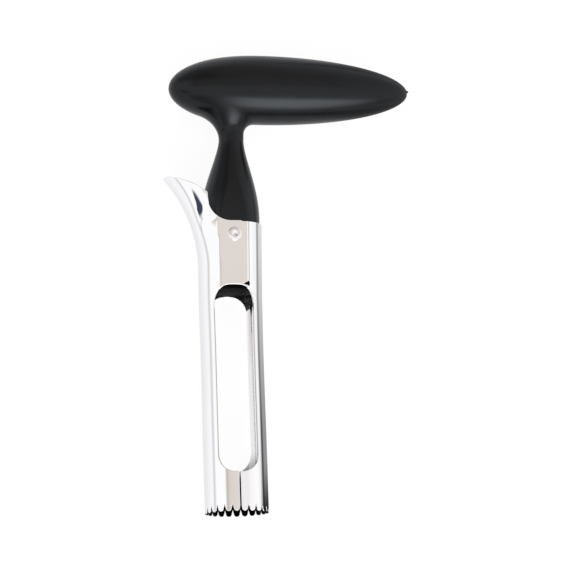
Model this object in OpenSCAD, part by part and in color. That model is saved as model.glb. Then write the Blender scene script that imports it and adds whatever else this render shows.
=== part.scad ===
// Apple corer with a T handle: a black moulded handle, a folded and toothed
// steel tube whose left wall runs up into a squeeze lever, and one rivet.
// The pieces are drawn upright, with the tube's axis on Z, the collar's top
// edge at z = 0, the rivet side towards -Y and the long end of the bar on +X.
// Then the whole corer is laid on its back, as it comes to rest.

/* [Tube] */
// Outer radius of the tube
tube_r = 12.7; // [10:0.1:16]
// Thickness of the steel sheet
sheet = 0.8; // [0.5:0.05:1.2]
// Length from the collar's top edge to the tips of the teeth
tube_length = 116.2; // [105:0.5:140]
// Height of the closed band below the windows, teeth left out
band_height = 12.9; // [8:0.1:18]
// Width of the open seam down the front of the band
seam_gap = 0.5; // [0.2:0.05:1]
// How far the tube's wall bows in between the band and the collar
waist = 0.15; // [0.05:0.05:0.4]
// Depth below the collar's top edge at which it bows in the most
waist_depth = 54; // [40:1:70]

/* [Windows] */
// Depth of the front window's top edge below the collar's top edge
window_top = 25.9; // [22:0.1:34]
// Half width of a window, measured along the sheet
window_half = 8.7; // [6:0.1:10]
// Corner radius of a window in the flat sheet
window_corner = 7.4; // [3:0.1:8]
// How much shorter the back window is at each end
back_inset = 1.8; // [0:0.1:4]

/* [Teeth] */
// Number of teeth round the tube
teeth = 24; // [16:1:32]
// Depth of a gullet
tooth_depth = 2.8; // [1.5:0.1:4]
// Radius of a tooth's round tip, in the flat sheet
tooth_round = 1.25; // [0.6:0.05:1.4]

/* [Lever] */
// How far below the collar's top edge the left wall starts to bend out
bend_start = 18.5; // [8:0.5:22]
// Radius of the bend, on the outer face of the left wall
bend_r = 55; // [45:0.5:80]
// Slope of the lever to the tube, along which its outline is cut
lever_lean = 34; // [24:0.5:40]
// Height of the lever's tip, measured along its own slope
lever_tip = 29.9; // [26:0.1:34]
// Half width of the lever at its broadest, on its outer face
lever_half = 11.75; // [8:0.05:12]
// Height along the slope at which the round end begins
lever_shoulder = 12; // [10:0.1:15]
// Radius of the hollow between the lever and the collar, front and back
throat_r = 9.3; // [5:0.1:12]

/* [Collar] */
// Depth at which the straight tube gives way to the collar
collar_foot = 29; // [26.5:0.1:34]
// Lean of the collar to the right, with the handle's plug in it
collar_lean = 1.3; // [0.8:0.1:2]
// How much larger the collar's radius is than the tube's
collar_swell = 0.05; // [0.05:0.05:0.2]
// Angle from the front to the middle of the flat that carries the rivet
flat_deg = 2; // [0:0.1:6]
// Half of the angle that this flat covers
flat_half_deg = 26.5; // [15:0.5:30]
// Angle from the front to the collar's seam
collar_seam_deg = 29.3; // [24:0.1:34]
// Width of the collar's seam
collar_seam_gap = 0.2; // [0.1:0.05:0.5]
// Size of the small relief notch at the foot of that seam
relief = 2.4; // [1.5:0.1:3]
// Drop of the collar's top edge on the right-hand side
collar_step = 0.35; // [0.1:0.05:0.6]

/* [Handle] */
// Radius of the bar where it is thickest
bar_r = 13.95; // [12.8:0.05:18]
// Height of the bar's axis above the collar
bar_height = 55; // [50:0.5:65]
// Distance from the neck's axis to the bar's thickest point
bar_peak = 11.4; // [5:0.1:16]
// Length of the bar's blunt end, from its thickest point
bar_nose = 37.1; // [30:0.1:50]
// Length of the bar's tapered end, from its thickest point
bar_tail = 59.9; // [45:0.1:80]
// Lean of the handle to the right
handle_lean = 2.8; // [0:0.1:4]
// Offset of the neck's axis from the tube's axis
handle_shift = 0.6; // [0:0.05:1]
// How far the moulding nib stands out of the tapered end
nib_reach = 0.6; // [0.2:0.1:1.5]

/* [Neck] */
// Radius of the neck where it enters the collar
neck_base_r = 12; // [10:0.05:12.6]
// Radius of the neck at its narrowest
neck_r = 5; // [4:0.1:7]
// Height of the narrowest place above the collar
neck_waist = 34; // [28:0.5:37]
// Reach of the blend under the bar, on its tapered side
blend_tail = 4.4; // [2:0.1:6]
// Reach of the blend under the bar, on its blunt side
blend_nose = 5.4; // [2:0.1:8]
// Depth of the plug inside the tube
plug_depth = 27.5; // [22:0.1:32]
// Gap between the plug and the tube
plug_fit = 0.1; // [0.05:0.05:0.3]

/* [Rivet] */
// Radius of the rivet's shank
rivet_r = 1.6; // [1.2:0.1:2.2]
// Radius of the rivet's heads
rivet_head_r = 2.8; // [2.4:0.1:3.6]
// Height of the rivet's heads
rivet_head_h = 0.68; // [0.6:0.01:1.2]
// Depth of the rivet's centre below the collar's top edge
rivet_drop = 5.5; // [4.5:0.1:8]
// Gap between the rivet and its holes
rivet_fit = 0.05; // [0.02:0.01:0.1]

/* [Hidden] */
$fn = 96;

// A cutter or an overlap runs past its piece by this much
past = 1;
// A skin lies this much outside the true round that it covers
skin = 0.02;

inner_r = tube_r - sheet;
collar_r = tube_r + collar_swell;
band_top = tube_length - tooth_depth - band_height;

// Heights from the collar's plane, in the handle's own upright frame
blend_start = neck_waist + 1;
bell_power = 1.6;

// Fullness of the bar's two ends: higher is blunter
nose_power = 2.45;
tail_power = 1.8;
nose_steps = 14;
tail_steps = 20;

// Radius of the bar at a distance along its axis from the neck's axis
function bar_radius(x) =
    let (d = x - bar_peak)
    let (u = d < 0 ? -d / bar_nose : d / bar_tail)
    bar_r * sqrt(max(0, 1 - pow(min(u, 1), d < 0 ? nose_power : tail_power)));

// Places along the bar, closer together towards both tips
function bar_places() = concat(
    [for (i = [0:nose_steps - 1]) bar_peak - bar_nose * cos(90 * i / nose_steps)],
    [for (i = [0:tail_steps]) bar_peak + bar_tail * sin(90 * i / tail_steps)]
);

// Radius of the neck's bell at a height above the collar
function bell_radius(z) =
    let (u = min(max(z, 0) / neck_waist, 1))
    neck_r + (neck_base_r - neck_r) * pow(1 - u * u, bell_power);

// Underside of the bar over a point beside the neck
function bar_underside(x, y) = bar_height - sqrt(max(0, pow(bar_radius(x), 2) - y * y));

// The lever's edges are cut square through the sheet at this angle from its middle
cut_deg = 60;

// Half width of the lever's round end at a height along its slope
lever_power = 2.3;
function lever_half_at(t) =
    let (up = (t - lever_shoulder) / (lever_tip - lever_shoulder))
    lever_half * pow(max(0, 1 - pow(up, lever_power)), 1 / lever_power);

// The same outline, looked at along the direction of the cut
function lever_cut_at(t) = tube_r * sin(asin(lever_half_at(t) / tube_r) - cut_deg);

// Places up the lever's round end, closer together towards the tip
lever_steps = 20;
function lever_places() =
    [for (i = [0:lever_steps]) lever_shoulder + (lever_tip - lever_shoulder) * sin(90 * i / lever_steps)];

// Point of the flat sheet, wrapped round the tube and seen from the front
function wrapped(a, z) = [tube_r * sin(a / tube_r * 180 / PI), z];

// How the corer lies: the tube's end and the bar's thickest place on the floor
bar_peak_z = bar_height * cos(handle_lean) - bar_peak * sin(handle_lean);
reach = tube_length + bar_peak_z;
lay_deg = asin(bar_r / norm([reach, tube_r])) - atan2(tube_r, reach);
lift = tube_length * sin(lay_deg) + tube_r * cos(lay_deg);

// The box of the lying corer, which is centred on the origin
bend_centre = -(collar_r + bend_r);
bend_rise = collar_foot - bend_start;
bend_x = bend_centre * cos(collar_lean) + bend_rise * sin(collar_lean);
bend_z = bend_rise * cos(collar_lean) - bend_centre * sin(collar_lean) - collar_foot;
lean_height = bend_z * cos(lever_lean) - bend_x * sin(lever_lean);
tip_deg = lever_lean + asin((lever_tip - lean_height) / bend_r);
lever_tip_x = bend_x + bend_r * cos(tip_deg);
bar_nose_x = handle_shift - (bar_nose - bar_peak) * cos(handle_lean) + bar_height * sin(handle_lean);
bar_tail_x = handle_shift + (bar_peak + bar_tail) * cos(handle_lean) + bar_height * sin(handle_lean);
bar_top_z = bar_height * cos(handle_lean)
    + max([for (x = bar_places()) bar_radius(x) * cos(handle_lean) - x * sin(handle_lean)]);
middle_x = (min(lever_tip_x, bar_nose_x) + bar_tail_x + nib_reach) / 2;
middle_y = (bar_top_z - tube_length) / 2 * cos(lay_deg);

module as_it_lies() {
    translate([-middle_x, -middle_y, lift])
        rotate([lay_deg - 90, 0, 0])
            children();
}

// The handle's own frame, leaned over and set beside the tube's axis
module leaned() {
    translate([handle_shift, 0, 0])
        rotate([0, handle_lean, 0])
            children();
}

module handle_bar() {
    translate([0, 0, bar_height])
        rotate([0, 90, 0])
            rotate_extrude()
                polygon(concat([for (x = bar_places()) [bar_radius(x), x]],
                    [[0, bar_peak + bar_tail], [0, bar_peak - bar_nose]]));
}

// Small pointed nib left by the mould, a little above the bar's axis
module moulding_nib() {
    nib_up = 0.9;
    nib_root = 3;
    translate([bar_peak + bar_tail - nib_root, 0, bar_height + nib_up])
        rotate([0, 90, 0])
            cylinder(h = nib_root + nib_reach, r1 = nib_root / 2, r2 = nib_root / 12);
}

// Bell that narrows from the collar to the waist, with a stem up into the bar
module neck_bell() {
    steps = 16;
    rotate_extrude()
        polygon(concat(
            [[0, -past], [neck_base_r, -past]],
            [for (i = [0:steps]) let (z = neck_waist * i / steps) [bell_radius(z), z]],
            [[neck_r, bar_height], [0, bar_height]]));
}

// Blend between the neck and the underside of the bar, which it follows all round
module neck_blend() {
    sides = 48;
    rings = 9;
    side_reach = (blend_tail + blend_nose) / 2;
    function reach_at(a) = side_reach + (blend_tail - blend_nose) / 2 * cos(a);
    function point_at(a, q) =
        let (r = neck_r + skin + reach_at(a) * (1 - cos(q)))
        let (far = neck_r + reach_at(a))
        let (top = bar_underside(far * cos(a), far * sin(a)))
        [r * cos(a), r * sin(a), blend_start + (top - blend_start) * sin(q)];
    ring_points = [for (k = [0:rings]) for (i = [0:sides - 1]) point_at(360 * i / sides, 90 * k / rings)];
    sunk_points = [for (i = [0:sides - 1])
        let (p = point_at(360 * i / sides, 90)) [p.x * 0.8, p.y * 0.8, bar_height]];
    layers = rings + 2;
    walls = [for (k = [0:layers - 2]) for (i = [0:sides - 1])
        let (j = (i + 1) % sides)
        each [[k * sides + i, (k + 1) * sides + i, k * sides + j],
            [k * sides + j, (k + 1) * sides + i, (k + 1) * sides + j]]];
    bottom = [[for (i = [0:sides - 1]) i]];
    top = [[for (i = [0:sides - 1]) (layers - 1) * sides + sides - 1 - i]];
    polyhedron(concat(ring_points, sunk_points), concat(walls, bottom, top));
}

// Everything behind the flat on the neck's front, and everything above the neck
module neck_room() {
    big = 2 * (bar_nose + bar_tail);
    behind_flat(sheet + plug_fit);
    translate([-big / 2, -big / 2, neck_waist])
        cube(big);
}

// The collar's own frame, which leans from the foot of the collar
module in_collar() {
    translate([0, 0, -collar_foot])
        rotate([0, collar_lean, 0])
            translate([0, 0, collar_foot])
                children();
}

// Everything behind the collar's flat, whose steel ends this far inside its outer face
module behind_flat(depth) {
    big = 8 * tube_r;
    rotate([0, 0, flat_deg])
        translate([-big / 2, depth - collar_r * cos(flat_half_deg), -big / 2])
            cube(big);
}

// Plug that fills the collar and carries the rivet
module plug() {
    chamfer = 0.5;
    plug_r = collar_r - sheet - plug_fit;
    in_collar()
        intersection() {
            translate([0, 0, -plug_depth]) {
                cylinder(h = chamfer, r1 = plug_r - chamfer, r2 = plug_r);
                translate([0, 0, chamfer])
                    cylinder(h = plug_depth - chamfer + past, r = plug_r);
            }
            behind_flat(sheet + plug_fit);
        }
}

module rivet_hole() {
    in_collar()
        rotate([0, 0, flat_deg])
            translate([0, 0, -rivet_drop])
                rotate([90, 0, 0])
                    cylinder(h = 2 * (collar_r + past), r = rivet_r + rivet_fit, center = true);
}

module handle() {
    big = 2 * (bar_nose + bar_tail);
    color([0.13, 0.13, 0.14])
        difference() {
            union() {
                intersection() {
                    leaned() {
                        handle_bar();
                        moulding_nib();
                        neck_bell();
                        neck_blend();
                    }
                    in_collar() {
                        translate([-big / 2, -big / 2, 0])
                            cube(big);
                    }
                    in_collar()
                        neck_room();
                }
                plug();
            }
            rivet_hole();
        }
}

// Left half of the collar's section, with straight legs to the right
module half_section(r, leg) {
    translate([bend_r + collar_r, 0]) {
        intersection() {
            circle(r = r);
            translate([-2 * r, -r])
                square(2 * r);
        }
        translate([0, -r])
            square([leg, 2 * r]);
    }
}

// Left wall, filled, bent out in one sweep that ends beyond the lever's tip
module left_form(r, leg, beyond) {
    translate([bend_centre, 0, -bend_start])
        rotate([90, 0, 0])
            rotate_extrude(angle = tip_deg + collar_lean + beyond)
                half_section(r, leg);
}

// Everything below the lever's edge on one side, front or back
module lever_side(side) {
    deep = 4 * tube_r;
    rotate([0, -lever_lean, 0])
        rotate([0, -90, 0])
            rotate([side * cut_deg, 0, 0])
                translate([0, 0, -deep / 2])
                    linear_extrude(deep)
                        polygon(concat(
                            [[-deep, side * deep], [-deep, -side * deep], [0, -side * deep],
                                [0, -side * (lever_cut_at(lever_shoulder) + lever_shoulder)]],
                            [for (t = lever_places()) [t, -side * lever_cut_at(t)]],
                            [[lever_tip, side * deep]]));
}

// Hollow that clears the neck between the lever and the collar's top edge
module throat() {
    big = 2 * lever_tip;
    rotate([90, 0, 0])
        translate([0, 0, -tube_r - past])
            linear_extrude(2 * (tube_r + past)) {
                translate([0, throat_r])
                    circle(r = throat_r);
                translate([-throat_r, throat_r])
                    square([big, big]);
                square([big, big]);
            }
}

// The left wall's share of the collar and the lever above it
module lever() {
    difference() {
        intersection() {
            in_collar()
                difference() {
                    intersection() {
                        left_form(collar_r, 5, 15);
                        behind_flat(0);
                        translate([-4 * tube_r, -2 * tube_r, -bend_start])
                            cube([4 * tube_r, 4 * tube_r, 4 * tube_r + bend_start]);
                    }
                    intersection() {
                        left_form(collar_r - sheet, 6, 16);
                        behind_flat(sheet);
                    }
                }
            lever_side(1);
            lever_side(-1);
        }
        throat();
    }
}

// Collar with its flat front, without the wall that bends out
module collar() {
    in_collar()
        difference() {
            intersection() {
                translate([0, 0, -collar_foot])
                    cylinder(h = collar_foot, r = collar_r);
                behind_flat(0);
            }
            intersection() {
                translate([0, 0, -collar_foot - past])
                    cylinder(h = collar_foot + 2 * past, r = collar_r - sheet);
                behind_flat(sheet);
            }
            translate([-2 * tube_r, -2 * tube_r, -bend_start])
                cube([2 * tube_r, 4 * tube_r, bend_start + past]);
        }
}

// Tube below the collar: a true round band, then a wall that bows in a little
module lower_tube() {
    band_end = band_top - 1.5;
    difference() {
        rotate_extrude()
            polygon([
                [inner_r, -tube_length], [tube_r, -tube_length],
                [tube_r, -band_end], [tube_r - waist, -waist_depth], [tube_r, past - collar_foot],
                [inner_r, past - collar_foot], [inner_r - waist, -waist_depth], [inner_r, -band_end]]);
        in_collar()
            translate([-2 * tube_r, -2 * tube_r, -collar_foot])
                cube(4 * tube_r);
    }
}

// Window with round corners, drawn in the flat sheet and wrapped round the tube
module window(inset) {
    steps = 9;
    top = -window_top - inset;
    bottom = -band_top + inset;
    flat = window_half - window_corner;
    function corner(k) = [flat + window_corner * sin(90 * k / steps), window_corner * cos(90 * k / steps)];
    right = concat(
        [for (k = [0:steps]) let (c = corner(k)) wrapped(c.x, top - window_corner + c.y)],
        [for (k = [steps:-1:0]) let (c = corner(k)) wrapped(c.x, bottom + window_corner - c.y)]);
    rotate([90, 0, 0])
        linear_extrude(tube_r + past)
            polygon(concat(right, [for (i = [len(right) - 1:-1:0]) [-right[i].x, right[i].y]]));
}

// Cutter for one gullet, pointed at its top and opening round the teeth below,
// which leaves a small flat at each tooth's tip
module gullet() {
    half = tube_r * sin(180 / teeth);
    round_r = min(tooth_round, half);
    steps = 5;
    turn = 83;
    side = concat(
        [for (k = [0:steps]) let (q = turn * k / steps) [half - round_r * cos(q), round_r * (1 - sin(q))]],
        [[half - round_r * cos(turn), -past]]);
    translate([0, 0, -tube_length])
        rotate([90, 0, 0])
            translate([0, 0, inner_r - past])
                linear_extrude(sheet + 2 * past)
                    polygon(concat([[0, tooth_depth]], side,
                        [for (i = [len(side) - 1:-1:0]) [-side[i].x, side[i].y]]));
}

// Open seam down the front of the band
module band_seam() {
    translate([-seam_gap / 2, -tube_r - past, -tube_length - past])
        cube([seam_gap, sheet + 2 * past, tube_length - band_top + 2 * past]);
}

// Closed-up seam of the collar, which ends in a small three-cornered notch
module collar_seam() {
    relief_rise = 0.6 * relief;
    relief_low = window_top + 0.3 * relief;
    in_collar()
        rotate([0, 0, collar_seam_deg]) {
            translate([-collar_seam_gap / 2, -tube_r - past, -relief_low])
                cube([collar_seam_gap, sheet + 2 * past, relief_low + past]);
            rotate([90, 0, 0])
                translate([0, 0, inner_r - past])
                    linear_extrude(sheet + 2 * past)
                        polygon([[-relief, -window_top + 0.1 * relief], [0, relief_rise - window_top],
                            [0.1 * relief, -window_top + 0.1 * relief], [0, -relief_low]]);
        }
}

// The right-hand part of the collar's top edge lies a little lower
module collar_drop() {
    in_collar()
        translate([tube_r * sin(collar_seam_deg / 2), -tube_r - past, -collar_step])
            cube([2 * tube_r, 2 * (tube_r + past), collar_step + past]);
}

module blade() {
    color([0.82, 0.82, 0.84])
        difference() {
            union() {
                lower_tube();
                collar();
                lever();
            }
            window(0);
            rotate([0, 0, 180])
                window(back_inset);
            for (i = [0:teeth - 1])
                rotate([0, 0, 360 * i / teeth])
                    gullet();
            band_seam();
            collar_seam();
            collar_drop();
            rivet_hole();
        }
}

// Low dome with a shallow dimple
module rivet_head() {
    steps = 8;
    dimple_r = 0.35 * rivet_head_r;
    dimple_depth = 0.3 * rivet_head_h;
    rotate_extrude()
        polygon(concat(
            [[0, 0]],
            [for (k = [0:steps]) let (q = 90 * k / steps)
                [dimple_r + (rivet_head_r - dimple_r) * cos(q), rivet_head_h * sin(q)]],
            [[0, rivet_head_h - dimple_depth]]));
}

module rivet() {
    front = collar_r * cos(flat_half_deg);
    back = collar_r + 1.5 * skin;
    color([0.75, 0.75, 0.77])
        in_collar()
            rotate([0, 0, flat_deg])
                translate([0, 0, -rivet_drop]) {
                    translate([0, -front, 0])
                        rotate([-90, 0, 0])
                            cylinder(h = front + back, r = rivet_r);
                    translate([0, -front, 0])
                        rotate([90, 0, 0])
                            rivet_head();
                    translate([0, back, 0])
                        rotate([-90, 0, 0])
                            rivet_head();
                }
}

as_it_lies() handle();
as_it_lies() blade();
as_it_lies() rivet();
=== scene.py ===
"""Apple corer: a black T handle, a folded blade of polished steel and one rivet.

Sizes are in millimetres in the corer's own frame: x to the right, y up the tube
from the collar's top edge, z out of the side with the rivet. lay_down() turns
them into the frame of the corer that lies on its back, in metres.
"""
import math

import bmesh
import bpy
import numpy as np
from mathutils import Matrix, Vector
from mathutils.geometry import delaunay_2d_cdt


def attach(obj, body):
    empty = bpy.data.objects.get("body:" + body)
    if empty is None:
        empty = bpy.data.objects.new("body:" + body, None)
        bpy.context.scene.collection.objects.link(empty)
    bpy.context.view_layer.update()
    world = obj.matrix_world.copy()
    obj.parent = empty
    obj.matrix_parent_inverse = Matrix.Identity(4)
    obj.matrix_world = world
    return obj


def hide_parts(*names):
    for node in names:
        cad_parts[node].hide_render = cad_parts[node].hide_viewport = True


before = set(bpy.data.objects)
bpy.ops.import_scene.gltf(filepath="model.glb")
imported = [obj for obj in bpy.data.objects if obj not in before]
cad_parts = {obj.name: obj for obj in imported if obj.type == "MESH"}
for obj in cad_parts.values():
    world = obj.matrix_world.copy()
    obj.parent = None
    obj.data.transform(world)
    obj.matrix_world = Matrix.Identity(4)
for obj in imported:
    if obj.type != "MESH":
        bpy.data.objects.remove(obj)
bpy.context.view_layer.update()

# Sizes ---------------------------------------------------------------------
TUBE_R = 12.7
SHEET = 0.8
TUBE_LENGTH = 116.2
TOOTH_DEPTH = 2.8
TEETH = 24
TOOTH_ROUND = 1.25
BAND_TOP = -100.5
WINDOW_TOP = -25.9
WINDOW_HALF = 8.75
WINDOW_CORNER = 7.4
BACK_CORNER = 8.0
BACK_INSET = 1.8
SEAM_GAP = 0.5
BEND_START = 18.5
BEND_R = 55.0
LEVER_LEAN = math.radians(34)
LEVER_TIP = 29.9
LEVER_HALF = 11.75
LEVER_SHOULDER = 12.0
LEVER_FULLNESS = 2.3
THROAT_R = 9.3
COLLAR_FOOT = 29.0
COLLAR_LEAN = math.radians(1.3)
COLLAR_R = 12.75
COLLAR_SEAM = math.radians(29.3)
COLLAR_GAP = 0.12
COLLAR_STEP = 0.35
NOTCH_SHOULDER = -24.45
WAIST = 0.17
WAIST_DEPTH = 54.0
WAIST_FOOT = 99.0
WAIST_TOP = 28.0
EDGE_ROUND = 0.2
BAR_R = 13.95
BAR_HEIGHT = 55.0
BAR_PEAK = 11.4
BAR_NOSE = 37.1
BAR_TAIL = 59.9
NOSE_FULLNESS = 2.3
TAIL_FULLNESS = 1.97
BAR_TILT = math.radians(1.1)
HANDLE_LEAN = math.radians(2.8)
HANDLE_SHIFT = 0.6
NECK_BASE_R = 12.0
NECK_R = 5.0
NECK_WAIST = 34.0
BLEND_SIDE = 5.2
BLEND_TAIL = 4.4
BLEND_NOSE = 8.0
PLUG_R = 11.85
PLUG_FIT = 0.1
PLUG_DEPTH = 27.5
RIVET_R = 1.6
RIVET_HEAD_R = 2.8
RIVET_HEAD_H = 0.68
RIVET_DROP = 5.5
RIVET_TURN = math.radians(2.7)
DIMPLE_R = 1.35

# Once round the tube, in the flat sheet
TURN = 2 * math.pi * TUBE_R

# How the corer lies: its slope, and where its own origin ends up
LAY = math.radians(0.41998)
MIDDLE_X = 24.7159
MIDDLE_Y = -23.8306
LIFT = 13.5514


def lay_down(points):
    """Points of the corer's own frame, laid on the floor and in metres."""
    p = np.asarray(points, float).reshape(-1, 3)
    s, c = math.sin(LAY), math.cos(LAY)
    out = np.empty_like(p)
    out[:, 0] = p[:, 0] - MIDDLE_X
    out[:, 1] = -p[:, 2] * s + p[:, 1] * c - MIDDLE_Y
    out[:, 2] = p[:, 2] * c + p[:, 1] * s + LIFT
    return out * 0.001


def turn_down(directions):
    """Directions of the corer's own frame, turned as it lies."""
    d = np.asarray(directions, float).reshape(-1, 3)
    s, c = math.sin(LAY), math.cos(LAY)
    return np.stack([d[:, 0], -d[:, 2] * s + d[:, 1] * c, d[:, 2] * c + d[:, 1] * s], 1)


def smooth_step(t):
    """Rises gently from 0 to 1 as t does."""
    t = np.clip(t, 0.0, 1.0)
    return t * t * (3 - 2 * t)


# Shader maths --------------------------------------------------------------
class Val:
    """A shader socket that adds its own Math nodes when it is used in sums."""

    def __init__(self, tree, socket):
        self.tree, self.socket = tree, socket

    def maths(self, operation, *values):
        return self.tree.node("ShaderNodeMath", {"operation": operation}, *values)

    def __add__(self, o):
        return self.maths("ADD", self, o)

    def __radd__(self, o):
        return self.maths("ADD", o, self)

    def __sub__(self, o):
        return self.maths("SUBTRACT", self, o)

    def __rsub__(self, o):
        return self.maths("SUBTRACT", o, self)

    def __mul__(self, o):
        return self.maths("MULTIPLY", self, o)

    def __rmul__(self, o):
        return self.maths("MULTIPLY", o, self)


class Finish:
    """The node tree of one material or of the world."""

    def __init__(self, owner):
        owner.use_nodes = True
        self.tree = owner.node_tree
        self.tree.nodes.clear()

    def feed(self, socket, value):
        if isinstance(value, Val):
            self.tree.links.new(value.socket, socket)
        else:
            socket.default_value = value

    def node(self, kind, settings, *values, out=0, **sockets):
        """A new node's output; values go in by place, and sockets by their names."""
        n = self.tree.nodes.new(kind)
        for key, value in settings.items():
            if key == "stops":
                ramp = n.color_ramp
                while len(ramp.elements) > 2:
                    ramp.elements.remove(ramp.elements[-1])
                while len(ramp.elements) < len(value):
                    ramp.elements.new(0.5)
                for element, (place, colour) in zip(ramp.elements, value):
                    element.position = place
                    element.color = (*colour, 1)
            else:
                setattr(n, key, value)
        for socket, value in zip(n.inputs, values):
            self.feed(socket, value)
        for name, value in sockets.items():
            self.feed(n.inputs[name.replace("_", " ")], value)
        return Val(self, n.outputs[out])

    def mix(self, factor, a, b):
        n = self.tree.nodes.new("ShaderNodeMix")
        n.data_type = "RGBA"
        self.feed(n.inputs[0], factor)
        for socket, value in ((n.inputs[6], a), (n.inputs[7], b)):
            self.feed(socket, value if isinstance(value, Val) else (*value[:3], 1))
        return Val(self, n.outputs[2])

    def ramp(self, value, low, high, at_low, at_high):
        """Goes smoothly from at_low to at_high while value goes from low to high."""
        return self.node("ShaderNodeMapRange", {"interpolation_type": "SMOOTHSTEP"},
                         value, low, high, at_low, at_high)

    def surface(self, shader):
        n = self.tree.nodes.new("ShaderNodeOutputMaterial")
        self.feed(n.inputs["Surface"], shader)


# The blade's sheet ---------------------------------------------------------
def in_collar(points):
    """Points of the collar's own frame, which leans to the right from its foot."""
    p = np.asarray(points, float).reshape(-1, 3)
    s, c = math.sin(COLLAR_LEAN), math.cos(COLLAR_LEAN)
    up = p[:, 1] + COLLAR_FOOT
    return np.stack([p[:, 0] * c + up * s, up * c - p[:, 0] * s - COLLAR_FOOT, p[:, 2]], 1)


def flat_spread(y):
    """Middle and half width, as angles, of the collar's flat at a height."""
    up = np.clip((y + 25.0) / 25.0, 0, 1)
    return np.radians(2.25 - 3.25 * up), np.radians(23.3 + 4.5 * up)


def section_radius(theta, y):
    """Radius of the sheet's outer face: round, with a flat under the rivet."""
    r = TUBE_R + (COLLAR_R - TUBE_R) * smooth_step((y + COLLAR_FOOT) / 2.0)
    bow = smooth_step((y + WAIST_FOOT) / (WAIST_FOOT - WAIST_DEPTH))
    bow = bow * smooth_step((-WAIST_TOP - y) / (WAIST_DEPTH - WAIST_TOP))
    r = r - WAIST * bow
    middle, half = flat_spread(y)
    off = np.arctan2(np.sin(theta - middle), np.cos(theta - middle))
    inset = r - r * np.cos(half) / np.cos(np.clip(off, -1.2, 1.2))
    soft = 0.5 * (inset + np.sqrt(inset * inset + 0.0006))
    near = smooth_step((half + 0.05 - np.abs(off)) / 0.05) * (y > -34)
    return r - soft * near


def bend_shift(psi, y):
    """How far the bend carries a point of the left wall to the left."""
    rho = BEND_R + COLLAR_R * (1 - np.cos(psi))
    h = np.maximum(y + BEND_START, 0.0)
    return np.sqrt(rho * rho - h * h) - rho


def sheet_point(theta, y):
    """Point of the sheet's outer face at an angle to the right of the front and a height.

    The bend is full at the middle of the left wall, where the angle psi is 0, and
    fades out round the tube, over more of it the higher the point is.
    """
    theta = np.asarray(theta, float)
    y = np.asarray(y, float) + 0 * theta
    psi = np.abs(np.arctan2(np.sin(theta + math.pi / 2), np.cos(theta + math.pi / 2)))
    spread = np.radians(61 + 70 * smooth_step((y + 1.0) / 20.0))
    weight = (1 - np.minimum(psi / spread, 1) ** 4) ** 2
    r = section_radius(theta, y)
    rise = y + COLLAR_FOOT
    leaned = math.sin(COLLAR_LEAN) * smooth_step((rise + 2) / 4)
    x = r * np.sin(theta)
    for _ in range(3):
        x = r * np.sin(theta) + weight * bend_shift(psi, y + x * leaned)
    x = x + math.tan(COLLAR_LEAN) * 0.5 * (rise + np.sqrt(rise * rise + 2.0))
    return np.stack([x, y, r * np.cos(theta)], -1)


def sheet_frame(theta, y):
    """Point, unit tangents along the arc and up the tube, and outward normal."""
    d = 1e-3
    p = sheet_point(theta, y)
    along = sheet_point(theta + d, y) - sheet_point(theta - d, y)
    up = sheet_point(theta, y + d * 10) - sheet_point(theta, y - d * 10)
    along /= np.linalg.norm(along, axis=-1, keepdims=True)
    up /= np.linalg.norm(up, axis=-1, keepdims=True)
    out = np.cross(along, up)
    out /= np.linalg.norm(out, axis=-1, keepdims=True)
    return p, along, up, out


def angle_at(x, y, front):
    """Angle at which the sheet's front or back half passes through x at a height."""
    low, high = (-math.pi / 2, 0.6) if front else (-math.pi / 2, -math.pi - 0.6)
    for _ in range(40):
        mid = (low + high) / 2
        if sheet_point(mid, y)[0] < x:
            low = mid
        else:
            high = mid
    return (low + high) / 2


def height_at(psi, t, front):
    """Height at which the line psi of the left wall has the height t along its slope."""
    theta = -math.pi / 2 + (psi if front else -psi)
    low, high = -5.0, 30.0
    for _ in range(40):
        mid = (low + high) / 2
        x = sheet_point(theta, mid)[0]
        if -x * math.sin(LEVER_LEAN) + mid * math.cos(LEVER_LEAN) < t:
            low = mid
        else:
            high = mid
    return (low + high) / 2


def lever_edge(front):
    """Flat-pattern points of the lever's edge on one side, from the collar to the tip."""
    start = LEVER_SHOULDER + 1.6
    out = []
    for q in np.linspace(0, math.radians(72), 22):
        x, y = -THROAT_R * math.sin(q), THROAT_R * (1 - math.cos(q))
        out.append((angle_at(x, y, front), y))
    for k in range(1, 25):
        t = start + (LEVER_TIP - start) * math.sin(math.pi / 2 * k / 24)
        up = min(1.0, (t - LEVER_SHOULDER) / (LEVER_TIP - LEVER_SHOULDER))
        half = LEVER_HALF * max(0.0, 1 - up ** LEVER_FULLNESS) ** (1 / LEVER_FULLNESS)
        psi = math.asin(half / TUBE_R)
        out.append((-math.pi / 2 + (psi if front else -psi), height_at(psi, t, front)))
    return [(TURN + theta * TUBE_R, y) for theta, y in out]


def resample(points, step):
    """The same open line with its points about a step apart, corners kept."""
    out = [points[0]]
    for a, b in zip(points, points[1:]):
        n = max(1, int(math.ceil(math.dist(a, b) / step)))
        out += [(a[0] + (b[0] - a[0]) * k / n, a[1] + (b[1] - a[1]) * k / n)
                for k in range(1, n + 1)]
    return out


def window_edge(top, bottom, half, corner):
    """Half outline of a window on the right of its middle, from the top down."""
    flat = half - corner
    q = np.linspace(0, math.pi / 2, 17)
    upper = [(flat + corner * math.sin(a), top - corner + corner * math.cos(a)) for a in q]
    lower = [(flat + corner * math.cos(a), bottom + corner - corner * math.sin(a)) for a in q]
    return [(0.0, top)] + upper + lower + [(0.0, bottom)]


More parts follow.
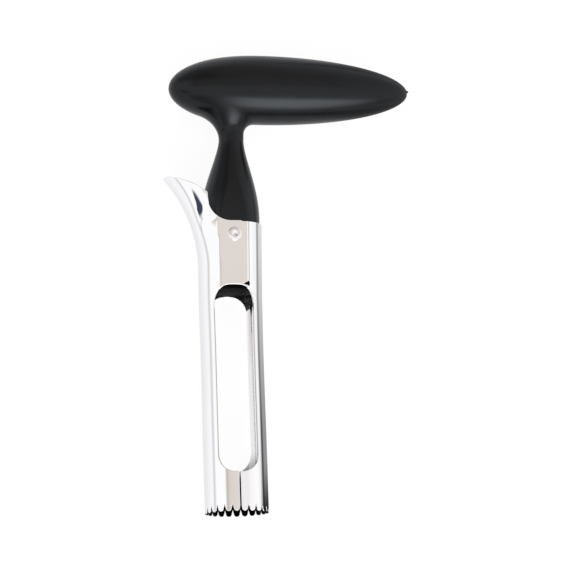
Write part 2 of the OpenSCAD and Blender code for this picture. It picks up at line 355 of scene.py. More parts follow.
def tooth_line():
    """The toothed edge of the flat sheet from the seam's left edge round to its right edge."""
    pitch = TURN / TEETH
    line = []
    for k in range(TEETH):
        start = TURN - k * pitch
        for q in np.linspace(0, math.pi, 9):
            x = start - pitch / 2 + TOOTH_ROUND * math.cos(q)
            line.append((x, -TUBE_LENGTH + TOOTH_ROUND * (1 - math.sin(q))))
        if k < TEETH - 1:
            line.append((start - pitch, -TUBE_LENGTH + TOOTH_DEPTH))
    return line


def top_edge(u):
    """Height of the collar's top edge, which drops a little on the right of the front."""
    theta = u / TUBE_R
    if theta < math.pi:
        drop = smooth_step((theta - 0.22) / 0.1) * (1 - smooth_step((theta - 2.2) / 0.5))
    else:
        drop = smooth_step((u - TURN - 3.0) / 1.4)
    lean = COLLAR_R * math.sin(theta) * math.sin(COLLAR_LEAN)
    return -COLLAR_STEP * float(drop) - lean


def blade_outline():
    """One closed outline of the flat sheet, cut open along both seams.

    Below the collar's seam the two sides are welded: those two edges of the
    outline, whose places are returned with it, get no rounded rim.
    """
    seam = COLLAR_SEAM * TUBE_R
    half_gap = COLLAR_GAP / 2
    band_seam = SEAM_GAP / 2
    gullet = -TUBE_LENGTH + 2.2

    # right flap, round the back to the lever
    line = [(u, top_edge(u)) for u in np.linspace(seam + half_gap, math.pi * TUBE_R - 0.4, 60)]
    line += lever_edge(False)
    line += lever_edge(True)[-2::-1]
    line += [(u, top_edge(u)) for u in np.linspace(TURN + 0.4, TURN + seam - half_gap, 22)]
    # left flap's edge down to the notch
    line += [(TURN + seam - half_gap, NOTCH_SHOULDER), (TURN + 4.1, -25.65)]
    notch = (seam + 0.05, -26.5)
    rim = (seam, -27.95)
    line = resample(line, 0.5)
    line += resample([line[-1], (TURN + notch[0], notch[1])], 0.4)[1:]
    weld_left = len(line) - 1
    right = window_edge(WINDOW_TOP, BAND_TOP, WINDOW_HALF, WINDOW_CORNER)
    full = [(TURN - u, y) for u, y in right]
    # window's top edge from the weld leftwards, then down its left side
    top = [p for p in right if p[0] < seam - 0.2 and p[1] > -40][::-1]
    left_part = [(TURN + u, y) for u, y in [rim] + top] + full[1:-1]
    left_part += [(TURN - band_seam, BAND_TOP)]
    line += resample(left_part, 0.5)
    # down the band's seam, round the teeth and up the seam's other side
    line += resample([(TURN - band_seam, BAND_TOP), (TURN - band_seam, gullet)], 0.6)[1:]
    line += [p for p in tooth_line() if band_seam + 0.1 < p[0] < TURN - band_seam - 0.1]
    line += resample([(band_seam, gullet), (band_seam, BAND_TOP)], 0.6)
    # up the window's right side to the weld and the right side of the notch
    rest = [p for p in right[::-1] if p[0] > band_seam]
    rest = [p for p in rest if not (p[1] > -40 and p[0] < seam + 0.2)]
    line += resample([(band_seam, BAND_TOP)] + rest + [rim], 0.5)[1:]
    weld_right = len(line) - 1
    line += [notch]
    line += resample([notch, (seam + 0.35, -25.6), (seam + half_gap, NOTCH_SHOULDER),
                      (seam + half_gap, top_edge(seam + half_gap))], 0.5)[1:-1]
    last = len(line) - 2
    return line[::-1], last - weld_left, last - weld_right


def back_window():
    """Closed outline of the window at the back, in the flat sheet."""
    half = window_edge(WINDOW_TOP - BACK_INSET, BAND_TOP + BACK_INSET, WINDOW_HALF, BACK_CORNER)
    middle = math.pi * TUBE_R
    loop = [(middle + u, y) for u, y in half] + [(middle - u, y) for u, y in half[-2:0:-1]]
    return resample(loop + loop[:1], 0.5)[:-1]


def inset_points(loop, insets):
    """Each corner of a closed loop moved in by the distance of its two edges."""
    p = np.array(loop)
    n = len(p)
    edge = np.roll(p, -1, 0) - p
    length = np.linalg.norm(edge, axis=1, keepdims=True)
    normal = np.stack([-edge[:, 1], edge[:, 0]], 1) / length
    out = np.empty_like(p)
    for i in range(n):
        a, b = normal[i - 1], normal[i]
        da, db = insets[i - 1], insets[i]
        det = a[0] * b[1] - a[1] * b[0]
        if abs(det) < 0.05:
            m = a + b
            m /= np.linalg.norm(m)
            out[i] = p[i] + m * max(da, db) if min(da, db) > 0 else p[i] + m * (da + db) / 2
        else:
            v = np.array([(da * b[1] - db * a[1]) / det, (a[0] * db - b[0] * da) / det])
            reach = np.linalg.norm(v)
            out[i] = p[i] + v * min(1.0, 2.2 * max(da, db) / max(reach, 1e-9))
    return out


def inside(points, loop):
    """Which points lie inside a closed loop."""
    q = np.array(loop)
    a, b = q, np.roll(q, -1, 0)
    px, py = points[:, 0:1], points[:, 1:2]
    spans = (a[:, 1] > py) != (b[:, 1] > py)
    rise = np.where(np.abs(b[:, 1] - a[:, 1]) < 1e-12, 1e-12, b[:, 1] - a[:, 1])
    cross = px < (b[:, 0] - a[:, 0]) * (py - a[:, 1]) / rise + a[:, 0]
    return ((spans & cross).sum(1) % 2) == 1


def near_line(points, loop, reach):
    """Which points lie closer to a closed loop than a distance."""
    q = np.array(loop)
    a, b = q, np.roll(q, -1, 0)
    ab = b - a
    out = np.zeros(len(points), bool)
    for k in range(0, len(points), 2000):
        d = points[k:k + 2000, None, :] - a
        t = np.clip((d * ab).sum(2) / np.maximum((ab * ab).sum(1), 1e-12), 0, 1)
        gap = np.linalg.norm(d - t[..., None] * ab, axis=2).min(1)
        out[k:k + 2000] = gap < reach
    return out


def new_object(name, verts, faces):
    mesh = bpy.data.meshes.new(name)
    mesh.from_pydata([tuple(v) for v in verts], [], faces)
    mesh.update()
    mesh.shade_smooth()
    obj = bpy.data.objects.new(name, mesh)
    bpy.context.scene.collection.objects.link(obj)
    return obj


def face_mesh(loops):
    """Points and triangles of the flat sheet between its outline and its window.

    Also says which point each corner of the loops has become.
    """
    def in_sheet(points):
        return inside(points, loops[0]) & ~inside(points, loops[1])

    us = np.arange(-8, 120 + 16) * (TURN / 120)
    ys = np.concatenate([np.arange(-116, -2, 1.1), np.arange(-2, 24, 0.7)])
    grid = np.array([(u, y) for u in us for y in ys])
    grid = grid[in_sheet(grid)]
    grid = grid[~near_line(grid, loops[0], 0.33) & ~near_line(grid, loops[1], 0.33)]
    flat = [tuple(p) for loop in loops for p in loop] + [tuple(p) for p in grid]
    edges, base = [], 0
    for loop in loops:
        n = len(loop)
        edges += [(base + i, base + (i + 1) % n) for i in range(n)]
        base += n
    verts, _, tris, orig, _, _ = delaunay_2d_cdt([Vector(p) for p in flat], edges, [], 0, 1e-5)
    points = np.array([(v.x, v.y) for v in verts])
    tri = np.array(tris)
    tri = tri[in_sheet(points[tri].mean(1))]
    new_of = {old: new for new, olds in enumerate(orig) for old in olds}
    return points, tri, new_of


def set_in_steel(uv, depth):
    """Points of the flat sheet, folded and set a depth below its outer face."""
    p, along, up, out = sheet_frame(uv[:, 0] / TUBE_R, uv[:, 1])
    return p - out * depth, along, up, out


def make_blade():
    """The folded sheet: outer face, inner face and the rounded cut edges between them."""
    outer, weld_left, weld_right = blade_outline()
    hole = back_window()
    hole_area = sum(a[0] * b[1] - b[0] * a[1] for a, b in zip(hole, hole[1:] + hole[:1]))
    if hole_area > 0:
        hole = hole[::-1]
    insets = [EDGE_ROUND] * len(outer)
    insets[weld_left] = 0.0
    insets[weld_right] = 0.0
    loops = [(outer, insets), (hole, [EDGE_ROUND] * len(hole))]
    inner_loops = [inset_points(loop, ins) for loop, ins in loops]
    pts, tri, new_of = face_mesh(inner_loops)

    n = len(pts)
    outer_p, _, _, out = set_in_steel(pts, 0.0)
    inner_p, _, _, _ = set_in_steel(pts, SHEET)
    all_p, all_n = [outer_p, inner_p], [out, -out]
    faces = [tuple(t) for t in tri] + [(t[0] + n, t[2] + n, t[1] + n) for t in tri]
    count, start = 2 * n, 0
    # rows of points over a cut edge: share of the inset, depth, and half turns of the normal
    e = EDGE_ROUND
    rows = [(0.29, 0.29 * e, 0.25), (0.0, e, 0.5),
            (0.0, SHEET - e, 0.5), (0.29, SHEET - 0.29 * e, 0.75)]
    for (loop, ins), inner in zip(loops, inner_loops):
        o = np.array(loop)
        m = len(o)
        toward = inner - o
        size = np.linalg.norm(toward, axis=1, keepdims=True)
        away2 = -toward / np.maximum(size, 1e-9)
        columns = []
        for share, depth, turn in rows:
            p, along, up, out = set_in_steel(o + toward * share, depth)
            away = along * away2[:, 0:1] + up * away2[:, 1:2]
            angle = turn * math.pi
            normal = out * math.cos(angle) + away * math.sin(angle)
            all_p.append(p)
            all_n.append(normal / np.linalg.norm(normal, axis=1, keepdims=True))
            columns.append(count + np.arange(m))
            count += m
        first = np.array([new_of[start + i] for i in range(m)])
        grid_rows = [first] + columns + [first + n]
        for i in range(m):
            if ins[i] == 0.0:
                continue
            j = (i + 1) % m
            for a, b in zip(grid_rows, grid_rows[1:]):
                faces.append((int(a[j]), int(a[i]), int(b[i]), int(b[j])))
        start += m
    blade = new_object("blade_sheet", lay_down(np.vstack(all_p)), faces)
    # close the mesh at the welds, and keep the normals worked out above
    bm = bmesh.new()
    bm.from_mesh(blade.data)
    layer = bm.verts.layers.float_vector.new("face_dir")
    for v, d in zip(bm.verts, turn_down(np.vstack(all_n))):
        v[layer] = Vector(d)
    bmesh.ops.remove_doubles(bm, verts=bm.verts, dist=4e-6)
    bm.to_mesh(blade.data)
    bm.free()
    dirs = blade.data.attributes["face_dir"]
    flat_dirs = np.empty(len(blade.data.vertices) * 3)
    dirs.data.foreach_get("vector", flat_dirs)
    blade.data.shade_smooth()
    blade.data.normals_split_custom_set_from_vertices([tuple(d) for d in flat_dirs.reshape(-1, 3)])
    blade.data.attributes.remove(blade.data.attributes["face_dir"])
    return blade


# The handle ----------------------------------------------------------------
def bar_end(x):
    """How far along its end of the bar a place is, and that end's length and fullness."""
    d = x - BAR_PEAK
    length = np.where(d < 0, BAR_NOSE, BAR_TAIL)
    return np.abs(d) / length, length, np.where(d < 0, NOSE_FULLNESS, TAIL_FULLNESS)


def bar_radius(x):
    u, _, power = bar_end(x)
    return BAR_R * np.sqrt(np.maximum(0, 1 - np.minimum(u, 1) ** power))


def tilted_back(x, y):
    """The bar's own directions, which rise a little to the right of the neck."""
    s, c = math.sin(BAR_TILT), math.cos(BAR_TILT)
    return x * c + y * s, y * c - x * s


def tilted(x, y):
    """The other way round: from the bar's own directions to the handle's."""
    s, c = math.sin(BAR_TILT), math.cos(BAR_TILT)
    return x * c - y * s, x * s + y * c


def neck_radius(y, turn=None):
    """Radius of the bell at a height, with its flat front where a turn is given."""
    u = np.clip(y, 0, NECK_WAIST) / NECK_WAIST
    r = NECK_R + (NECK_BASE_R - NECK_R) * (1 - u * u) ** 1.6
    if turn is None:
        return r
    half = np.radians(27.0) * (1 - smooth_step(y / 30.0))
    flat = r * np.cos(half) / np.cos(np.clip(turn - math.radians(1.5), -1.2, 1.2))
    return np.minimum(r, np.maximum(flat, r * np.cos(half)))


def blend_radius(turn):
    """Radius of the blend under the bar: larger on the blunt side of the neck."""
    slope = (BLEND_TAIL - BLEND_NOSE) / 2
    return BLEND_SIDE + slope * turn + ((BLEND_TAIL + BLEND_NOSE) / 2 - BLEND_SIDE) * turn * turn


def handle_gap(p):
    """About how far a point is outside the handle's smooth skin."""
    x, y = tilted_back(p[:, 0], p[:, 1] - BAR_HEIGHT)
    z = p[:, 2]
    rho = np.sqrt(y * y + z * z) + 1e-9
    u, length, power = bar_end(x)
    u = np.maximum(u, 1e-6)
    f = (rho / BAR_R) ** 2 + u ** power - 1
    slope = np.sqrt((2 * rho / BAR_R ** 2) ** 2 + (power * u ** (power - 1) / length) ** 2)
    ends = f / np.maximum(slope, 0.02)
    r = bar_radius(x)
    dr = (bar_radius(x + 0.01) - bar_radius(x - 0.01)) / 0.02
    side = (rho - r) / np.sqrt(1 + dr * dr)
    share = smooth_step((u - 0.72) / 0.16)
    bar = np.where(share >= 1, ends, side * (1 - share) + ends * share)
    out = np.sqrt(p[:, 0] ** 2 + z * z) + 1e-9
    height = p[:, 1]
    slope_n = (neck_radius(height + 0.01) - neck_radius(height - 0.01)) / 0.02
    turn = np.arctan2(p[:, 0], z)
    neck = (out - neck_radius(height, turn)) / np.sqrt(1 + slope_n ** 2)
    neck = np.maximum(neck, height - BAR_HEIGHT)
    k = blend_radius(p[:, 0] / out)
    return np.maximum(k, np.minimum(bar, neck)) - np.sqrt(
        np.maximum(k - bar, 0) ** 2 + np.maximum(k - neck, 0) ** 2)


def revolved(profile, sides, axis="y"):
    """Vertices and faces of a closed turned form from (radius, place) pairs."""
    verts, faces = [], []
    for r, h in profile:
        for k in range(sides):
            a = 2 * math.pi * k / sides
            if axis == "y":
                verts.append((r * math.cos(a), h, r * math.sin(a)))
            elif axis == "x":
                verts.append((h, r * math.cos(a), r * math.sin(a)))
            else:
                verts.append((r * math.cos(a), r * math.sin(a), h))
    rings = len(profile)
    for i in range(rings - 1):
        for k in range(sides):
            j = (k + 1) % sides
            faces.append((i * sides + k, i * sides + j, (i + 1) * sides + j, (i + 1) * sides + k))
    faces.append(tuple(range(sides))[::-1])
    faces.append(tuple((rings - 1) * sides + k for k in range(sides)))
    return verts, faces


def rough_handle():
    """A first mesh of the handle, close to its skin, for the even mesh to start from."""
    sides = 64
    places = [BAR_PEAK - BAR_NOSE * math.cos(math.pi / 2 * i / 24) for i in range(24)]
    places += [BAR_PEAK + BAR_TAIL * math.sin(math.pi / 2 * i / 30) for i in range(31)]
    profile = [(max(0.05, float(bar_radius(np.array([x]))[0])), x) for x in places]
    verts, faces = revolved(profile, sides, "x")
    verts = [(a, b + BAR_HEIGHT, z) for x, y, z in verts for a, b in [tilted(x, y)]]
    base = len(verts)
    around = np.arange(sides) * 2 * math.pi / sides
    rings = []
    for y in np.linspace(-3, NECK_WAIST, 30):
        r = float(neck_radius(np.array([y]))[0])
        rings.append([(r * math.cos(a), y, r * math.sin(a)) for a in around])
    for q in np.linspace(0.1, math.pi / 2, 9):
        ring = []
        for a in around:
            k = float(blend_radius(math.cos(a)))
            x, z = (NECK_R + k) * math.cos(a), (NECK_R + k) * math.sin(a)
            bar = float(bar_radius(np.array([x]))[0])
            under = BAR_HEIGHT - math.sqrt(max(0.0, bar ** 2 - z * z))
            low = max(NECK_WAIST + 0.5, under - k)
            r = NECK_R + k * (1 - math.cos(q))
            ring.append((r * math.cos(a), low + (under - low) * math.sin(q), r * math.sin(a)))
        rings.append(ring)
    rings.append([(x * 0.5, BAR_HEIGHT - 4, z * 0.5) for x, y, z in rings[-1]])
    for ring in rings:
        verts += ring
    for i in range(len(rings) - 1):
        for k in range(sides):
            j = (k + 1) % sides
            faces.append((base + i * sides + k, base + (i + 1) * sides + k,
                          base + (i + 1) * sides + j, base + i * sides + j))
    faces.append(tuple(base + k for k in range(sides)))
    faces.append(tuple(base + (len(rings) - 1) * sides + k for k in range(sides))[::-1])
    return verts, faces


def lean_over(points):
    """Points of the handle's own frame, which leans to the right."""
    p = np.asarray(points, float)
    s, c = math.sin(HANDLE_LEAN), math.cos(HANDLE_LEAN)
    out = p.copy()
    out[:, 0] = p[:, 0] * c + p[:, 1] * s + HANDLE_SHIFT
    out[:, 1] = -p[:, 0] * s + p[:, 1] * c
    return out


def settled_handle():
    """Points and faces of an even mesh that has been drawn onto the handle's smooth skin."""
    verts, faces = rough_handle()
    rough = new_object("rough", np.array(verts) * 0.001, faces)
    even = rough.modifiers.new("even", "REMESH")
    even.mode = "VOXEL"
    even.voxel_size = 0.0006
    even.use_smooth_shade = True
    shape = bpy.data.meshes.new_from_object(rough.evaluated_get(bpy.context.evaluated_depsgraph_get()))
    bpy.data.objects.remove(rough)
    p = np.empty(len(shape.vertices) * 3)
    shape.vertices.foreach_get("co", p)
    p = p.reshape(-1, 3) * 1000
    quads = [tuple(f.vertices) for f in shape.polygons]
    edges = np.array([tuple(e.vertices) for e in shape.edges])
    bpy.data.meshes.remove(shape)

    def slope_of(q):
        g = np.empty_like(q)
        for axis in range(3):
            step = np.zeros(3)
            step[axis] = 0.01
            g[:, axis] = (handle_gap(q + step) - handle_gap(q - step)) / 0.02
        return g / np.maximum(np.linalg.norm(g, axis=1, keepdims=True), 1e-6)

    # onto the skin, and evened out along it in all but the last two turns
    for turn in range(8):
        g = slope_of(p)
        p -= g * np.clip(handle_gap(p), -1.5, 1.5)[:, None]
        total = np.zeros_like(p)
        number = np.zeros(len(p))
        for a, b in ((0, 1), (1, 0)):
            np.add.at(total, edges[:, a], p[edges[:, b]])
            np.add.at(number, edges[:, a], 1)
        drift = total / number[:, None] - p
        drift -= g * (drift * g).sum(1, keepdims=True)
        if turn < 6:
            p += 0.5 * drift
    return p, quads


def make_plug():
    """Plug in the collar's own frame, flat at the front like the steel round it."""
    profile = [(0.01, -PLUG_DEPTH), (PLUG_R - 0.5, -PLUG_DEPTH), (PLUG_R - 0.15, -PLUG_DEPTH + 0.15),
               (PLUG_R, -PLUG_DEPTH + 0.5), (PLUG_R, -20), (PLUG_R, -10), (PLUG_R, 0.3), (0.01, 0.3)]
    verts, faces = revolved(profile, 120)
    verts = np.array(verts)
    turn = np.arctan2(verts[:, 0], verts[:, 2])
    size = np.hypot(verts[:, 0], verts[:, 2])
    limit = (section_radius(turn, verts[:, 1]) - SHEET - PLUG_FIT) / np.maximum(size, 1e-6)
    shrink = np.where(size > PLUG_R - 0.01, np.minimum(limit, 1.0), 1.0)
    verts[:, [0, 2]] *= shrink[:, None]
    plug = new_object("plug_skin", lay_down(in_collar(verts)), faces)
    plug.data.flip_normals()
    return plug


def make_nib():
    """Small nib that the mould leaves on the bar's tapered end."""
    tip = BAR_PEAK + BAR_TAIL
    profile = [(1.5, tip - 3.0), (1.0, tip - 1.2), (0.62, tip - 0.2), (0.4, tip + 0.3),
               (0.2, tip + 0.55), (0.05, tip + 0.6)]
    verts, faces = revolved(profile, 24, "x")
    verts = [(a, b + BAR_HEIGHT, z) for x, y, z in verts for a, b in [tilted(x, y + 0.9)]]
    return new_object("nib", lay_down(lean_over(verts)), faces)


def make_handle():
    """The bar and neck with the nib, and the plug as a piece of its own."""
    points, quads = settled_handle()
    handle = new_object("handle_skin", lay_down(lean_over(points)), quads)
    # cut the neck flat where it sits on the collar
    foot = lay_down(in_collar([(0, 0, 0)]))[0]
    down = turn_down([(-math.sin(COLLAR_LEAN), -math.cos(COLLAR_LEAN), 0)])[0]
    bm = bmesh.new()
    bm.from_mesh(handle.data)
    cut = bmesh.ops.bisect_plane(bm, geom=bm.verts[:] + bm.edges[:] + bm.faces[:], dist=1e-7,
                                 plane_co=Vector(foot), plane_no=Vector(down), clear_outer=True)
    rim = [g for g in cut["geom_cut"] if isinstance(g, bmesh.types.BMEdge)]
    bmesh.ops.contextual_create(bm, geom=rim)
    for face in bm.faces:
        face.smooth = len(face.verts) < 8
    bm.to_mesh(handle.data)
    bm.free()
    plug = make_plug()
    join_into(handle, make_nib())
    return handle, plug


def join_into(target, other):
    bm = bmesh.new()
    bm.from_mesh(target.data)
    bm.from_mesh(other.data)
    bpy.data.objects.remove(other)
    bm.to_mesh(target.data)
    bm.free()


# The rivet -----------------------------------------------------------------
def rivet_head():
    """Profile of a low domed head, from its rim to the bottom of its dimple."""
    h = RIVET_HEAD_H
    out = [(RIVET_HEAD_R - 0.25, 0.0), (RIVET_HEAD_R - 0.05, 0.05), (RIVET_HEAD_R, 0.2)]
    for q in np.linspace(0.15, 1, 10):
        a = q * math.pi / 2
        out.append((DIMPLE_R + (RIVET_HEAD_R - DIMPLE_R) * math.cos(a), 0.2 + (h - 0.2) * math.sin(a)))
    return out + [(1.2, h - 0.03), (1.0, h - 0.14), (0.8, h - 0.3), (0.5, h - 0.4), (0.01, h - 0.43)]


def make_rivet():
    """Shank with a head at the front, on the collar's flat, and one at the back."""
    head = rivet_head()
    _, half = flat_spread(-RIVET_DROP)
    seat, back = COLLAR_R * math.cos(half) - 0.03, COLLAR_R
    profile = [(r, -(back + h)) for r, h in head[::-1]] + [(RIVET_R, -back), (RIVET_R, seat)]
    profile += [(r, seat + h) for r, h in head]
    verts, faces = revolved(profile, 72, "z")
    s, c = math.sin(RIVET_TURN), math.cos(RIVET_TURN)
    verts = [(x * c + z * s, y - RIVET_DROP, z * c - x * s) for x, y, z in verts]
    rivet = new_object("rivet_pin", lay_down(in_collar(verts)), faces)
    bm = bmesh.new()
    bm.from_mesh(rivet.data)
    bmesh.ops.recalc_face_normals(bm, faces=bm.faces)
    bm.to_mesh(rivet.data)
    bm.free()
    return rivet


# Finishes ------------------------------------------------------------------
def black_plastic(name, ior, rough):
    """Black plastic with a fine grain and slightly uneven gloss."""
    m = bpy.data.materials.new(name)
    t = Finish(m)
    place = t.node("ShaderNodeTexCoord", {}, out=3)
    grain = t.node("ShaderNodeTexNoise", {}, Vector=place, Scale=2600.0, Detail=3.0, Roughness=0.6)
    cloud = t.node("ShaderNodeTexNoise", {}, Vector=place, Scale=60.0, Detail=4.0, Roughness=0.6)
    colour = t.mix(t.ramp(cloud, 0.3, 0.7, 0.0, 1.0), (0.004, 0.004, 0.0045), (0.006, 0.006, 0.0065))
    bump = t.node("ShaderNodeBump", {}, Strength=0.25, Distance=0.00004, Height=grain)
    shader = t.node("ShaderNodeBsdfPrincipled", {}, Base_Color=colour,
                    Roughness=rough + 0.08 * cloud, Normal=bump, IOR=ior,
                    Specular_Tint=(0.86, 0.93, 1.0, 1.0))
    t.surface(shader)
    return m


def polished_steel(name, tint, low, high):
    """Mirror steel with a faint wave, with painted shade on its lower cut edges and inside its toothed
    band; low and high bound its roughness.
    """
    m = bpy.data.materials.new(name)
    t = Finish(m)
    place = t.node("ShaderNodeTexCoord", {}, out=3)
    cloud = t.node("ShaderNodeTexNoise", {}, Vector=place, Scale=45.0, Detail=3.0, Roughness=0.55)
    wave = t.node("ShaderNodeTexNoise", {}, Vector=place, Scale=110.0, Detail=2.0, Roughness=0.5)
    bump = t.node("ShaderNodeBump", {}, Strength=0.08, Distance=0.00002, Height=wave)
    tone = t.mix(t.ramp(cloud, 0.35, 0.7, 0.0, 1.0), tint, tuple(0.985 * c for c in tint))
    # a point's distance from the tube's axis tells the cut edges and the inside from the outside
    x = t.node("ShaderNodeSeparateXYZ", {}, place)
    y = Val(t, x.socket.node.outputs[1]) * 1000 + MIDDLE_Y
    z = Val(t, x.socket.node.outputs[2]) * 1000 - LIFT - y * math.sin(LAY)
    x = x * 1000 + MIDDLE_X
    bow = t.ramp(y, -WAIST_FOOT, -WAIST_DEPTH, 0.0, 1.0) * t.ramp(y, -WAIST_DEPTH, -WAIST_TOP, 1.0, 0.0)
    out = x.maths("POWER", x * x + z * z, 0.5) + WAIST * bow
    window = t.ramp(y, -36.0, -34.5, 1.0, 0.0)
    inside = t.ramp(out, 12.0, 12.2, 1.0, 0.0)
    cut = t.ramp(out, 12.52, 12.66, 1.0, 0.0) * (1.0 - inside) * window
    # painted shade: the inside of the toothed band is darkened to near black, fully below the band's
    # top and partly a little higher, and shows black in the gaps between the teeth
    band_inside_shade = t.ramp(out, 12.4, 12.55, 1.0, 0.0) * (
        0.4 * t.ramp(y, -98.0, -89.0, 1.0, 0.0) + 0.6 * t.ramp(y, -101.5, -99.5, 1.0, 0.0))
    # painted shade: the cut edges more than about 35 mm below the collar's top are darkened to grey,
    # strongly on the left of the tube and faintly on the right
    tone = t.mix(cut * t.ramp(x, -2.0, 2.0, 0.85, 0.2), tone, (0.36, 0.36, 0.38))
    tone = t.mix(band_inside_shade, tone, (0.012, 0.010, 0.012))
    shader = t.node("ShaderNodeBsdfPrincipled", {}, Base_Color=tone, Metallic=1.0,
                    Roughness=low + (high - low) * cloud + 0.05 * inside * window, Normal=bump)
    t.surface(shader)
    return m


# Studio --------------------------------------------------------------------
def make_world():
    """White room whose pale, beige and dark cards show up only as reflections.

    A direction's place is told by y, towards the handle, and by the angle around
    the tube: -90 at the left horizon, 0 straight up, 90 at the right horizon.
    """
    world = bpy.data.worlds.new("studio")
    bpy.context.scene.world = world
    t = Finish(world)
    x = t.node("ShaderNodeSeparateXYZ", {}, t.node("ShaderNodeTexCoord", {}, out=0))
    y = Val(t, x.socket.node.outputs[1])
    z = Val(t, x.socket.node.outputs[2])
    around = x.maths("ARCTAN2", x, z) * (180 / math.pi)
    # cards from the left horizon over the top to the right one
    cards = ((-90, (0.70, 0.70, 0.72)), (-83, (1, 1, 1)), (-47, (1, 1, 1)), (-42, (0.64, 0.58, 0.54)),
             (-38, (0.56, 0.50, 0.46)), (-30, (0.70, 0.65, 0.61)), (8, (0.75, 0.69, 0.65)),
             (16, (0.72, 0.67, 0.63)), (19, (0.63, 0.58, 0.56)), (27, (0.82, 0.78, 0.77)),
             (36, (0.93, 0.89, 0.90)), (60, (0.99, 0.97, 0.98)), (78, (1, 1, 1)), (90, (0.9, 0.9, 0.9)))
    stops = [((place + 90) / 180, colour) for place, colour in cards]
    colour = t.node("ShaderNodeValToRGB", {"stops": stops}, (around + 90) * (1 / 180))
    # the beige card is paler to the right near the toothed end and stops short of the far side
    pale = t.ramp(around, 3.0, 9.0, 0.0, 1.0) * t.ramp(around, 34.0, 44.0, 1.0, 0.0)
    colour = t.mix(pale * t.ramp(y, 0.125, 0.16, 1.0, 0.0), colour, (0.87, 0.85, 0.85))
    low = t.ramp(y, 0.03, 0.09, 1.0, 0.0) * t.ramp(around, -84.0, -78.0, 0.0, 1.0)
    colour = t.mix(low, colour, (1.0, 1.0, 1.0))
    # a dark card low on the left, which the thumb lever picks up
    off = y + 0.34
    far = off.maths("ABSOLUTE", off)
    dark = t.ramp(around - 95.0 * (far - off), -76.0, -72.0, 0.0, 1.0)
    dark = dark * t.ramp(y, -0.405, -0.385, 0.0, 1.0)
    dark = dark * t.ramp(around + 170.0 * far, -50.0, -46.0, 1.0, 0.0)
    dark = dark * t.ramp(y, -0.3, -0.23, 1.0, 0.35)
    colour = t.mix(dark, colour, (0.045, 0.055, 0.09))
    # its pale tail towards the handle
    tail = around + 66.0 + 240.0 * y.maths("MAXIMUM", y + 0.15, 0.0)
    tail = t.ramp(tail, -8.0, -1.0, 0.0, 1.0) * t.ramp(tail, 1.0, 9.0, 1.0, 0.0)
    tail = tail * t.ramp(y, -0.31, -0.26, 0.0, 0.38) * t.ramp(y, -0.06, -0.01, 1.0, 0.0)
    colour = t.mix(tail, colour, (0.2, 0.2, 0.24))
    # two grey cards near the toothed end, which give the tube tone from behind
    card = t.ramp(around, -66.0, -60.0, 0.0, 1.0) * t.ramp(around, -34.0, -24.0, 1.0, 0.0)
    card = card + t.ramp(around, 48.0, 58.0, 0.0, 1.0) * t.ramp(around, 72.0, 76.0, 1.0, 0.0)
    colour = t.mix(card * t.ramp(y, -0.6, -0.5, 0.8, 0.0), colour, (0.30, 0.31, 0.34))
    # soft lamp beyond the toothed end and a dim side beyond the handle
    lamp = t.ramp(y, -0.97, -0.9, 0.0, 1.0) * t.ramp(y, -0.66, -0.56, 1.0, 0.0)
    lamp = lamp * t.ramp(around, -18.0, 6.0, 0.0, 1.0) * t.ramp(around, 25.0, 60.0, 1.0, 0.0)
    above = t.ramp(x, -0.3, -0.1, 0.45, 0.8)
    strength = (1.0 + 3.6 * lamp) * (1.0 + (above - 1.0) * t.ramp(y, 0.35, 0.6, 0.0, 1.0))
    seen = t.node("ShaderNodeLightPath", {}, out=0)
    studio = t.node("ShaderNodeBackground", {}, colour, strength)
    plain = t.node("ShaderNodeBackground", {}, (1.0, 1.0, 1.0, 1.0), 1.0)
    n = t.tree.nodes.new("ShaderNodeOutputWorld")
    t.feed(n.inputs["Surface"], t.node("ShaderNodeMixShader", {}, seen, studio, plain))


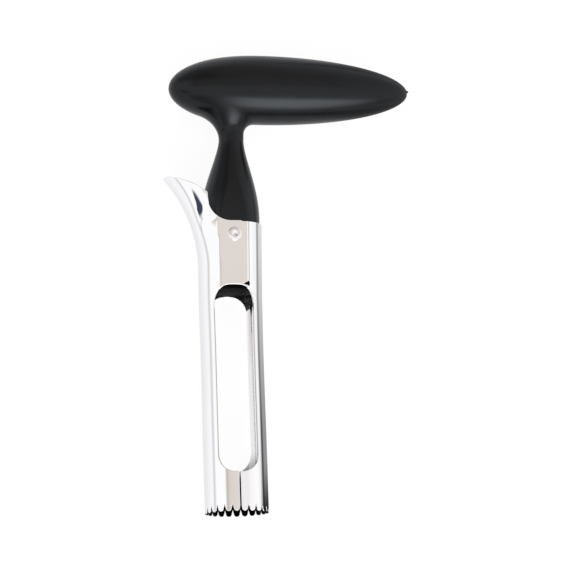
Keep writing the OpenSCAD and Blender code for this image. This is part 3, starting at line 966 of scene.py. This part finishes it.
def make_floor():
    """White floor; mirrored rays see instead a painted shadow of the corer: faint on its left, grey on
    its right with a darker edge, and greyer far out on the left.
    """
    floor = new_object("floor", [(-3, -3, 0), (3, -3, 0), (3, 3, 0), (-3, 3, 0)], [(0, 1, 2, 3)])
    m = bpy.data.materials.new("pale_floor")
    t = Finish(m)
    seen = t.node("ShaderNodeLightPath", {}, out=0)
    mirrored = Val(t, seen.socket.node.outputs["Is Glossy Ray"])
    x = t.node("ShaderNodeSeparateXYZ", {}, t.node("ShaderNodeNewGeometry", {}, out=0))
    y = Val(t, x.socket.node.outputs[1]) * 1000
    x = x * 1000 + MIDDLE_X
    # painted shade: on the left the floor is a little greyer close to the corer, and greyer again far
    # out
    left = t.ramp(x, -60.0, -10.0, 0.97, 0.84) * t.ramp(x, -260.0, -110.0, 0.72, 1.0)
    # painted shadow: on the right, grey that darkens towards the toothed end and is nearly black past
    # it
    near = t.ramp(y, -65.0, 35.0, 0.30, 0.74) * t.ramp(y, -92.0, -66.0, 0.03, 1.0)
    # a darker painted shadow edge further to the right
    line = t.ramp(x, 42.0, 62.0, 0.0, 1.0) * t.ramp(x, 80.0, 125.0, 1.0, 0.0)
    near = near * (1.0 - line * t.ramp(y, -55.0, -35.0, 0.72, 0.5))
    far = t.ramp(y, -85.0, -20.0, 0.45, 0.95)
    right = near + (far - near) * t.ramp(x, 85.0, 140.0, 0.0, 1.0)
    tone = left + (right - left) * t.ramp(x, 2.0, 18.0, 0.0, 1.0)
    glint = t.node("ShaderNodeEmission", {}, (0.98, 0.98, 1.0, 1.0), tone)
    lit = t.node("ShaderNodeBsdfDiffuse", {}, (0.12, 0.12, 0.12, 1.0))
    glow = t.node("ShaderNodeEmission", {}, (1.0, 1.0, 1.0, 1.0), 0.92)
    bright = t.node("ShaderNodeAddShader", {}, lit, glow)
    shader = t.node("ShaderNodeMixShader", {}, mirrored, lit, glint)
    t.surface(t.node("ShaderNodeMixShader", {}, seen, shader, bright))
    floor.data.materials.append(m)
    return floor


def make_camera():
    """A long lens above the corer, a little towards its toothed end and its left side."""
    side, end, roll = math.radians(8.5), math.radians(9.0), math.radians(1.935)
    far = 1.8
    aim = Vector(lay_down([(23.4, -25.9, 0)])[0])
    away = Vector((-math.sin(side) * math.cos(end), -math.sin(end), math.cos(side) * math.cos(end)))
    up = Vector((0, 1, 0)) - away * away.y
    up.normalize()
    right = up.cross(away)
    top = up * math.cos(roll) + right * math.sin(roll)
    across = right * math.cos(roll) - up * math.sin(roll)
    data = bpy.data.cameras.new("camera")
    data.sensor_width = 36.0
    data.lens = 36.0 * far / 0.2304
    data.clip_end = 10.0
    camera = bpy.data.objects.new("camera", data)
    turned = Matrix((across, top, away)).transposed().to_4x4()
    camera.matrix_world = Matrix.Translation(aim + away * far) @ turned
    bpy.context.scene.collection.objects.link(camera)
    bpy.context.scene.camera = camera


handle, plug = make_handle()
handle.data.materials.append(black_plastic("black_plastic", 1.37, 0.20))
# the plug gets a shaded copy of the plastic that barely reflects (IOR 1.08, rough), painting it as in
# shade inside the collar
plug.data.materials.append(black_plastic("plug_plastic", 1.08, 0.6))
blade = make_blade()
blade.data.materials.append(polished_steel("polished_steel", (0.98, 0.98, 0.985), 0.02, 0.05))
rivet = make_rivet()
rivet.data.materials.append(polished_steel("rivet_steel", (0.88, 0.87, 0.86), 0.06, 0.12))
for piece, node, slot in ((handle, "handle", "black_plastic"), (plug, "handle", "black_plastic"),
                          (blade, "blade", "polished_steel"), (rivet, "rivet", "rivet_steel")):
    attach(piece, "root")
    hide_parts(node)
bpy.context.scene.view_settings.view_transform = "Standard"
make_world()
floor = make_floor()
make_camera()
